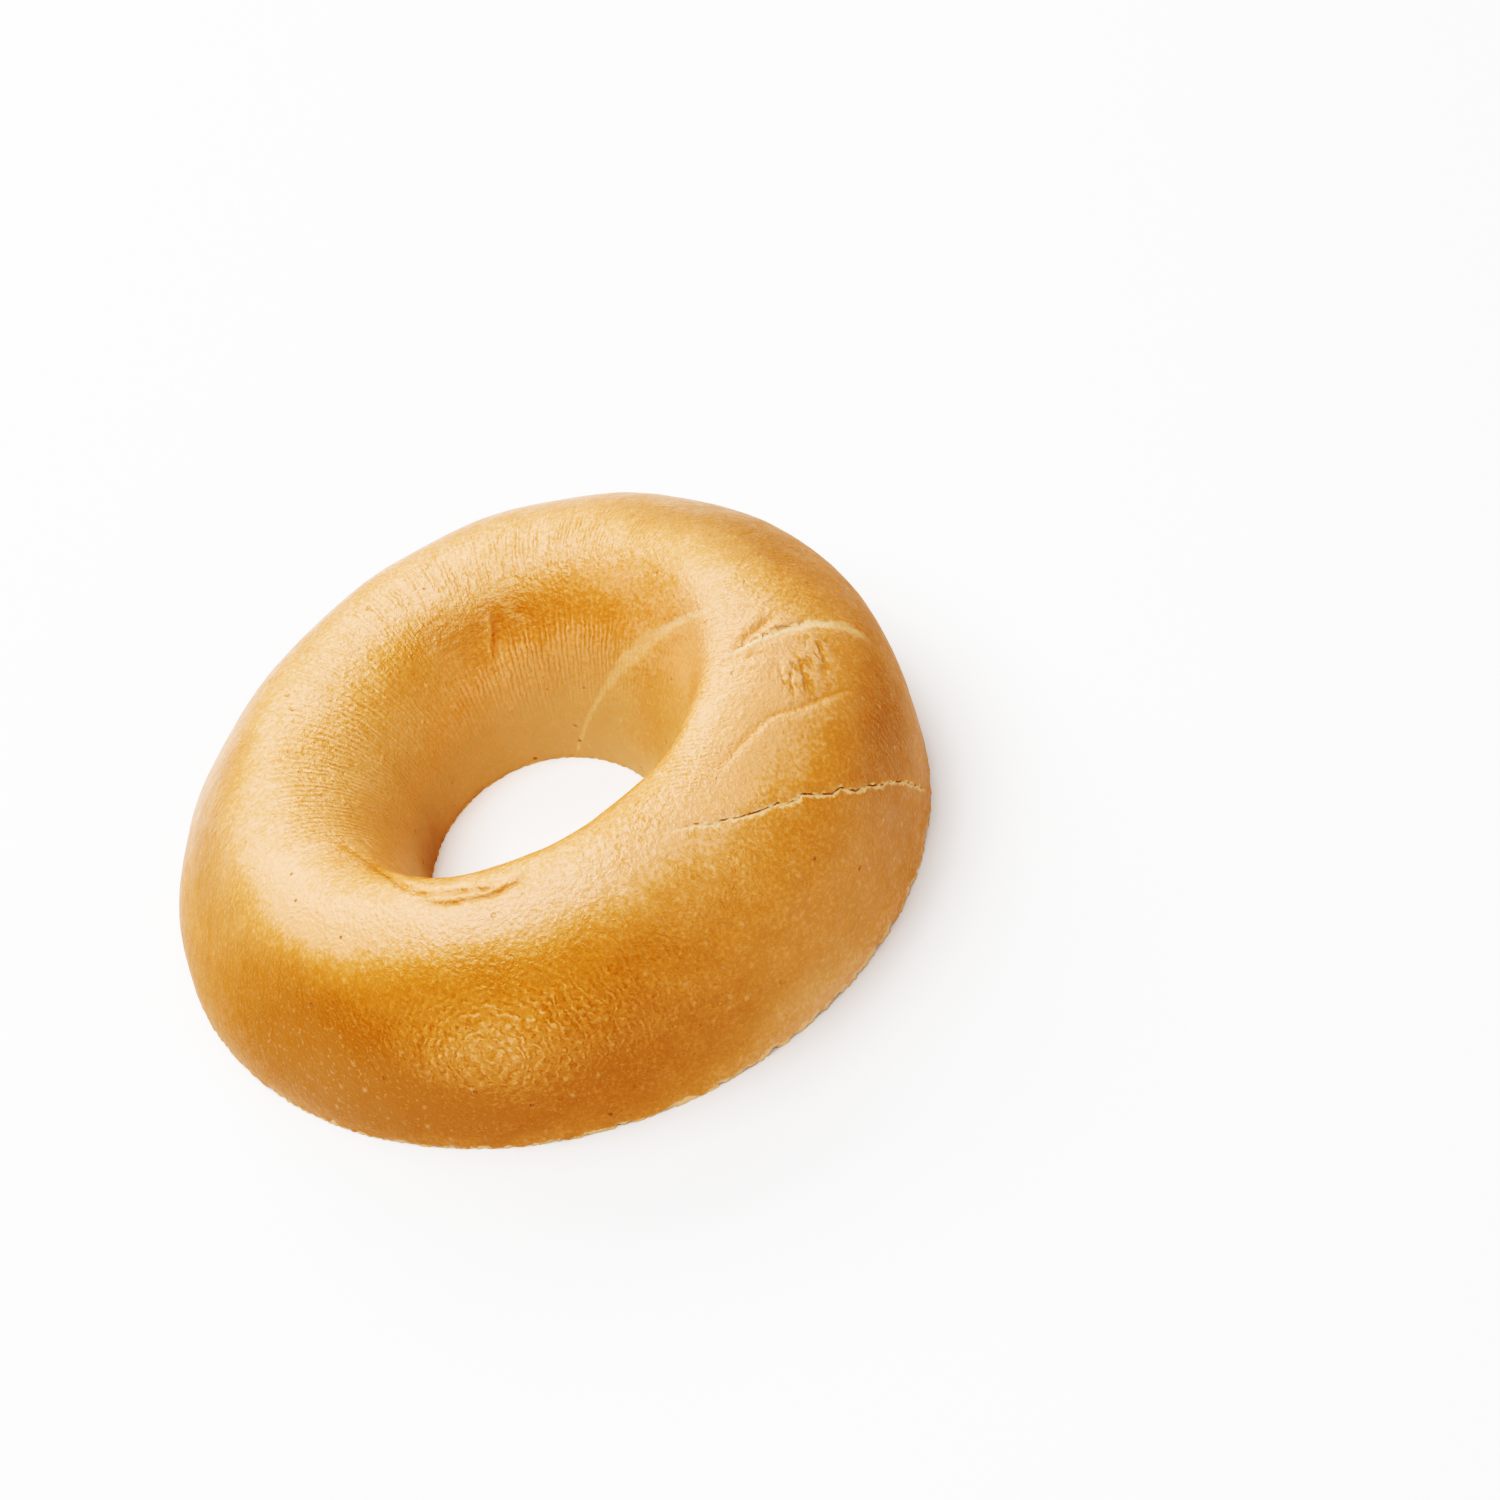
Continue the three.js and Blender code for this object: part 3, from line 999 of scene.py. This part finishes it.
def crack_layers(tree, where):
    """The pale edges of the crack, which lie a little to one side, and its thin slit of painted shade."""
    off = attribute(tree, "crack_off")
    fray = centred(tree, grain(tree, where, 1000.0, 3.0, 0.65), 1.6)
    wide = calculate(tree, "ABSOLUTE", plus(tree, plus(tree, off, 0.18), fray))
    edges = times(tree, smooth_step(tree, wide, 0.48, 0.02), attribute(tree, "crack_strength"))
    thin = plus(tree, off, centred(tree, grain(tree, where, 1500.0, 2.0), 0.36))
    thin = calculate(tree, "ABSOLUTE", thin)
    gaping = remap(tree, attribute(tree, "opening"), 0.35, 1.0)
    return edges, times(tree, smooth_step(tree, thin, 0.12, 0.03), gaping)


def torn_rim(tree, where):
    """Where the crust is torn off along the cut edge."""
    uneven = remap(tree, grain(tree, where, 800.0, 3.0, 0.6), 0.3, 0.7, 0.2, 1.7)
    reach = times(tree, attribute(tree, "tear"), uneven)
    left = minus(tree, reach, attribute(tree, "rim_height"))
    return smooth_step(tree, left, -0.05, 0.25)


def pits(tree, where):
    """Small pits along the join on the crown, darkened with painted shade."""
    open_here = smooth_step(tree, grain(tree, where, 1300.0, 2.0), 0.44, 0.52)
    return times(tree, attribute(tree, "pitted"), open_here)


print("frayed points:", int((np.abs(join_off) < 1.2).sum() + (np.abs(crack_off) < 0.5).sum()))

# %% [markdown]
# ## Wrinkles that run up
# The wrinkles on the wall and on the far crown are waves of the angle round the ring, so
# that they run up the section. Noise sways the waves and breaks them up, as even ones
# would look machined. The crumples have no order, so they are noise alone.

# %% Waves in the skin
def ripples(tree, where, distance, spacing, swaying, uneven):
    """Waves a spacing apart, from 0 to 1. Noise sways them, and uneven says how strong."""
    wide_sway = centred(tree, grain(tree, where, 400.0, 3.0), swaying * spacing)
    fine_sway = centred(tree, grain(tree, where, 1500.0, 1.0), 0.4 * swaying * spacing)
    swayed = plus(tree, plus(tree, distance, wide_sway), fine_sway)
    wave = calculate(tree, "SINE", times(tree, swayed, math.tau / spacing))
    strength = remap(tree, uneven, 0.42, 0.58, 0.0, 0.5)
    return plus(tree, 0.5, times(tree, wave, strength))


def turn_round(tree, where):
    """The angle round the ring, in radians."""
    place = add_node(tree, "ShaderNodeSeparateXYZ", {"Vector": where})
    return calculate(tree, "ARCTAN2", place.outputs["Y"], place.outputs["X"])


def strands_up_the_wall(tree, where):
    """Noise that is drawn out along the section and spread round the ring."""
    flat = combine(tree, "MULTIPLY", where, (1.0, 1.0, 0.0))
    outward = add_node(tree, "ShaderNodeVectorMath", {0: flat}, operation="NORMALIZE").outputs[0]
    upward = combine(tree, "MULTIPLY", where, (150.0, 150.0, 330.0))
    along_wall = combine(tree, "ADD", scaled(tree, outward, 66.0), upward)
    return grain(tree, along_wall, 1.0, 2.0, 0.55)


def crumples(tree, where):
    upright = combine(tree, "MULTIPLY", where, (1.0, 0.5, 0.5))
    return remap(tree, grain(tree, upright, 1000.0, 1.0), 0.36, 0.55, 0.0, 0.55)


print("wrinkled patches:", list(wrinkled), list(ringed))

# %% [markdown]
# ## Rings of wrinkles
# In two places a bubble under the skin sank again and left rings of fine wrinkles, like a
# fingerprint. They are the same waves, but of the distance from a point. The point lies
# below the crust, which calms the middle of the rings.

# %% Rings of wrinkles
def below_crust(round_, over, depth):
    """A place under the crust, in metres. depth is in mm."""
    angles = np.array([round_], float), np.array([over], float)
    place = crust(*angles)[0] - depth * crust_normal(*angles)[0]
    return tuple(float(c) * MM for c in place)


RINGS = {
    "ringed_flank": {"centre": below_crust(252, 32, 3), "spacing": 0.00090, "swaying": 3.2},
    "ringed_crown": {"centre": below_crust(287, 55, 0.5), "spacing": 0.00062, "swaying": 1.0},
}


def ring_wrinkles(tree, where, centre, spacing, swaying):
    distance = vector_length(tree, combine(tree, "SUBTRACT", where, centre))
    return ripples(tree, where, distance, spacing, swaying, grain(tree, where, 1200.0, 1.0))


print("rings, mm apart:", {name: ring["spacing"] / MM for name, ring in RINGS.items()})

# %% [markdown]
# ## The fine skin
# Between the wrinkles the skin is pebbled, like very fine leather: bumps of half a
# millimetre on soft swells. All of it is added to one height for the bump. The folds are
# also summed as crests, above 0 on a fold and below 0 beside it, because crests are paler
# and troughs browner.

# %% Height of the skin
SKIN_FOLDS = {
    "wrinkled_wall": {"strength": 0.6, "paleness": 4.6},
    "wrinkled_crown": {"strength": 0.6, "paleness": 1.5},
    "crumpled": {"strength": 2.2, "paleness": 2.8},
    "ringed_flank": {"strength": 0.24, "paleness": 2.2},
    "ringed_crown": {"strength": 0.42, "paleness": 1.6},
}


def pebbles(tree, where):
    bumps = times(tree, grain(tree, where, 1900.0, 2.0, 0.6), 1.1)
    swells = times(tree, grain(tree, where, 750.0, 1.0), 0.8)
    cells = add_node(tree, "ShaderNodeTexVoronoi", {"Vector": where, "Scale": 1400.0}, feature="SMOOTH_F1")
    height = plus(tree, plus(tree, bumps, swells), times(tree, cells.outputs["Distance"], -0.35))
    return times(tree, height, attribute(tree, "pebbled"))


def skin_height(tree, where):
    """The height of the skin, and the crests of its folds."""
    turn = turn_round(tree, where)
    strands = strands_up_the_wall(tree, where)
    waves = {
        "wrinkled_wall": ripples(tree, where, turn, 0.035, 1.2, strands),
        "wrinkled_crown": ripples(tree, where, turn, 0.020, 2.0, strands),
        "crumpled": crumples(tree, where),
    }
    for name, ring in RINGS.items():
        waves[name] = ring_wrinkles(tree, where, **ring)
    height = pebbles(tree, where)
    crests = 0.0
    for name, fold in SKIN_FOLDS.items():
        here = attribute(tree, name)
        raised = centred(tree, waves[name], fold["strength"])
        height = plus(tree, height, times(tree, here, raised))
        paler = centred(tree, waves[name], fold["paleness"])
        crests = plus(tree, crests, times(tree, here, paler))
    return height, crests


print("kinds of folds:", len(SKIN_FOLDS))

# %% [markdown]
# ## Pinpricks, blisters and dents
# Tiny bubbles leave pale blisters and shallow dents, and a few burst to dark pinpricks.
# Most come from the random dots above, but the ones that catch the eye have a place of
# their own. A dot at a fixed place is measured from the line that goes straight down into
# the crust there, so that it stays round on a bumpy surface.

# %% Pinpricks
BLISTERS = {"spacing": 0.0022, "size": 0.00055, "share": 0.40}
DENTS = {"spacing": 0.0034, "size": 0.00042, "share": 0.35}
RANDOM_PRICKS = {"spacing": 0.0055, "size": 0.00026, "share": 0.25}
PRICK_SIZE = 0.00027
PINPRICKS = [(60.7, 172.6), (206.1, 83.6), (212.3, 74.8), (226.5, 67.8), (222.3, 43.7),
             (248.3, 21.8), (255.5, 15.5), (265, 5.7), (306, 39.7)]


def pinprick(tree, where, round_, over):
    """A dot round the line that goes straight down into the crust at one place."""
    down = crust_normal(np.array([round_], float), np.array([over], float))[0]
    away = combine(tree, "SUBTRACT", where, below_crust(round_, over, 0))
    across = combine(tree, "CROSS_PRODUCT", away, tuple(float(c) for c in down))
    return smooth_step(tree, vector_length(tree, across), PRICK_SIZE, 0.4 * PRICK_SIZE)


def all_pinpricks(tree, where):
    pricks = dots(tree, where, **RANDOM_PRICKS)
    for round_, over in PINPRICKS:
        pricks = calculate(tree, "MAXIMUM", pricks, pinprick(tree, where, round_, over))
    return pricks


print("pinpricks with a place of their own:", len(PINPRICKS))

# %% [markdown]
# ## The crust material
# The layers go on in this order: first the browned colour with its painted light, then
# flecks and blisters, the painted shade in valleys and in one corner of the hole, and last
# the pale crumb and the dark slits, whose darkness is painted shade. Where crumb shows and
# where the crust is dry the surface is rougher. The height of the skin goes into one bump,
# with a distance of under a fifth of a millimetre.

# %% Crust material
BUMP_DEPTH = 0.00018
MIXED_IN = {"flecks": 0.32, "blisters": 0.45, "pinpricks": 0.7, "crumb": 0.8, "slit": 0.7}
RAISED_IN_BUMP = {"blisters": 0.45, "dents": -1.1, "pinpricks": -1.2, "slit": -1.6}
ROUGHER = 0.35


def crust_material():
    material, tree = start_material("crust")
    shader = tree.nodes["Principled BSDF"]
    where = add_node(tree, "ShaderNodeTexCoord").outputs["Object"]
    height, crests = skin_height(tree, where)

    colour = browned_and_painted_light_colour(tree, where, crests)
    # Pale flecks, which also stand in for glints on tiny raised dots: partly a painted highlight.
    flecks = smooth_step(tree, grain(tree, where, 1600.0, 2.0, 0.6), 0.57, 0.73)
    colour = mix_colour(tree, times(tree, flecks, MIXED_IN["flecks"]), colour, STRAW)
    blisters = dots(tree, wobbled(tree, where), **BLISTERS)
    colour = mix_colour(tree, times(tree, blisters, MIXED_IN["blisters"]), colour, STRAW)
    pricks = all_pinpricks(tree, where)
    colour = mix_colour(tree, times(tree, pricks, MIXED_IN["pinpricks"]), colour, BROWN)
    # Painted shade in the valleys of the marks.
    colour = mix_colour(tree, attribute(tree, "painted_valley_shade"), colour, AMBER)
    # The painted shadow in the dark corner low in the hole.
    colour = mix_colour(tree, attribute(tree, "painted_corner_shadow"), colour, DEEP_SHADE)

    band = frayed_join(tree, where)
    edges, slit = crack_layers(tree, where)
    slit = calculate(tree, "MAXIMUM", slit, times(tree, pits(tree, where), 0.7))
    crumb = calculate(tree, "MAXIMUM", band, edges)
    crumb = calculate(tree, "MAXIMUM", crumb, torn_rim(tree, where))
    colour = mix_colour(tree, times(tree, crumb, MIXED_IN["crumb"]), colour, CREAM)
    # The dark slit of the crack and the pits are painted shade in gaps too fine for the mesh.
    colour = mix_colour(tree, times(tree, slit, MIXED_IN["slit"]), colour, DEEP_SHADE)
    tree.links.new(colour, shader.inputs["Base Color"])

    gloss = remap(tree, grain(tree, where, 500.0), 0.3, 0.7, 0.25, 0.37)
    gloss = plus(tree, gloss, times(tree, attribute(tree, "dry"), ROUGHER))
    gloss = plus(tree, gloss, times(tree, crumb, ROUGHER))
    tree.links.new(gloss, shader.inputs["Roughness"])
    shader.inputs["Specular IOR Level"].default_value = 0.6

    dents = dots(tree, wobbled(tree, where), **DENTS)
    spots = {"blisters": blisters, "dents": dents, "pinpricks": pricks, "slit": slit}
    for name, raised in RAISED_IN_BUMP.items():
        height = plus(tree, height, times(tree, spots[name], raised))
    bump = add_node(tree, "ShaderNodeBump", {"Height": height, "Strength": 1.0, "Distance": BUMP_DEPTH})
    tree.links.new(bump.outputs["Normal"], shader.inputs["Normal"])
    print("crust:", len(tree.nodes), "nodes")
    return material


bagel.data.materials.append(crust_material())

# %% [markdown]
# ## The crumb
# The cut face was lightly toasted: the crumb is cream in the middle and browned in a band
# along the crust and round the hole. The pores are darker inside, because little light
# gets in. The mesh has the larger hollows, and dots with a bump of their own add the small
# holes, which would take too many faces.

# %% Crumb material
TOAST = (0.55, 0.25, 0.06)
PORE = (0.62, 0.40, 0.17)
HOLE = (0.42, 0.22, 0.07)
HOLES = {"spacing": 0.0030, "size": 0.0011, "share": 0.45}
CRUMB_BUMP_DEPTH = 0.0006


def crumb_material():
    material, tree = start_material("crumb")
    shader = tree.nodes["Principled BSDF"]
    where = add_node(tree, "ShaderNodeTexCoord").outputs["Object"]
    across = attribute(tree, "across_cut")
    near_outer = remap(tree, across, 0.68, 1.0)
    near_hole = remap(tree, across, 0.18, 0.0)
    toast = calculate(tree, "MAXIMUM", near_outer, near_hole)
    patches = remap(tree, grain(tree, where, 110.0, 4.0, 0.65), 0.3, 0.6, 0.2, 1.2)
    toast = times(tree, toast, patches, clamp=True)
    flecks = remap(tree, grain(tree, where, 700.0, 3.0, 0.7), 0.5, 0.7, 0.0, 0.3)
    toast = plus(tree, toast, flecks, clamp=True)
    colour = mix_colour(tree, toast, CREAM, TOAST)
    shadow = times(tree, attribute(tree, "hollow"), 0.6, clamp=True)
    colour = mix_colour(tree, shadow, colour, PORE)
    holes = dots(tree, wobbled(tree, where), **HOLES)
    colour = mix_colour(tree, times(tree, holes, 0.8, clamp=True), colour, HOLE)
    tree.links.new(colour, shader.inputs["Base Color"])
    shader.inputs["Roughness"].default_value = 0.85
    shader.inputs["Specular IOR Level"].default_value = 0.25

    bubbles = add_node(tree, "ShaderNodeTexVoronoi", {"Vector": where, "Scale": 900.0}).outputs["Distance"]
    height = plus(tree, bubbles, times(tree, grain(tree, where, 1400.0, 3.0), 0.6))
    height = minus(tree, height, times(tree, holes, 1.5))
    bump = add_node(tree, "ShaderNodeBump",
                    {"Height": height, "Strength": 0.8, "Distance": CRUMB_BUMP_DEPTH})
    tree.links.new(bump.outputs["Normal"], shader.inputs["Normal"])
    print("crumb:", len(tree.nodes), "nodes")
    return material


bagel.data.materials.append(crumb_material())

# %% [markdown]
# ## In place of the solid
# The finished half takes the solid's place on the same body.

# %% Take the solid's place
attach(bagel, "root")
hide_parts("bagel_half")
print("materials:", [m.name for m in bagel.data.materials])

# %% [markdown]
# ## The studio
# The half lies on a plain white floor that is far larger than it is, so that no edge shows
# from any side. The floor is matt, because a glossy one would mirror the bread.

# %% Floor
FLOOR_WHITE = (0.90, 0.90, 0.90)
FLOOR_SIDE = 6.0


def studio_floor():
    sheet = bmesh.new()
    bmesh.ops.create_grid(sheet, x_segments=1, y_segments=1, size=FLOOR_SIDE / 2)
    mesh = bpy.data.meshes.new("floor")
    sheet.to_mesh(mesh)
    floor = bpy.data.objects.new("floor", mesh)
    bpy.context.scene.collection.objects.link(floor)
    material, tree = start_material("floor")
    tree.nodes["Principled BSDF"].inputs["Base Color"].default_value = (*FLOOR_WHITE, 1)
    tree.nodes["Principled BSDF"].inputs["Roughness"].default_value = 0.9
    tree.nodes["Principled BSDF"].inputs["Specular IOR Level"].default_value = 0.1
    mesh.materials.append(material)


studio_floor()
print("floor, m:", FLOOR_SIDE, "square")

# %% [markdown]
# ## The lamps
# A broad lamp hangs above the half, a little to the left, a wide one behind it draws the
# long highlight on the far crown, and a weak one fills the near side. Large lamps are used
# because the gloss of the crust mirrors them: small ones would leave hard spots.

# %% Lamps
LAMPS = {
    "overhead_light": {"direction": (-0.33, -0.03, 0.94), "distance": 0.85, "width": 0.85,
                       "height": 0.75, "power": 9.5},
    "back_light": {"direction": (-0.06, 0.80, 0.60), "distance": 1.0, "width": 1.6,
                   "height": 0.45, "power": 9.6},
    "front_light": {"direction": (0.42, -0.76, 0.50), "distance": 1.0, "width": 0.7,
                    "height": 0.7, "power": 3.2},
}
SURROUNDING_LIGHT = 0.22


def soft_light(name, direction, distance, width, height, power):
    light = bpy.data.lights.new(name, "AREA")
    light.shape = "RECTANGLE"
    light.size = width
    light.size_y = height
    light.energy = power
    lamp = bpy.data.objects.new(name, light)
    lamp.location = Vector(direction).normalized() * distance
    lamp.rotation_euler = (-lamp.location).to_track_quat("-Z", "Y").to_euler()
    bpy.context.scene.collection.objects.link(lamp)


for name, lamp in LAMPS.items():
    soft_light(name, **lamp)
    print(name, lamp["power"], "W")

world = bpy.data.worlds.new("studio")
world.use_nodes = True
world.node_tree.nodes["Background"].inputs["Color"].default_value = (1, 1, 1, 1)
world.node_tree.nodes["Background"].inputs["Strength"].default_value = SURROUNDING_LIGHT
bpy.context.scene.world = world

# %% [markdown]
# ## Exposure
# Bright crust and a white floor together need a picture that keeps its colours clean up to
# white, and that deepens the shadows a little. The standard view with a tone curve of six
# points does both. Each point is how bright a spot is and how bright it is shown.

# %% Expose the picture
WHITE_LEVEL = 1.8
TONES = [(0.085, 0.011), (0.165, 0.08), (0.285, 0.25), (0.48, 0.50), (0.72, 0.70), (1.14, 0.90)]


def set_tones(view):
    view.view_transform = "Standard"
    view.use_curve_mapping = True
    view.curve_mapping.white_level = (WHITE_LEVEL,) * 3
    view.curve_mapping.extend = "HORIZONTAL"
    curve = view.curve_mapping.curves[3]
    for light, shown in TONES:
        curve.points.new(light / WHITE_LEVEL, shown)
    view.curve_mapping.update()
    print("tone curve:", len(curve.points), "points")


set_tones(bpy.context.scene.view_settings)
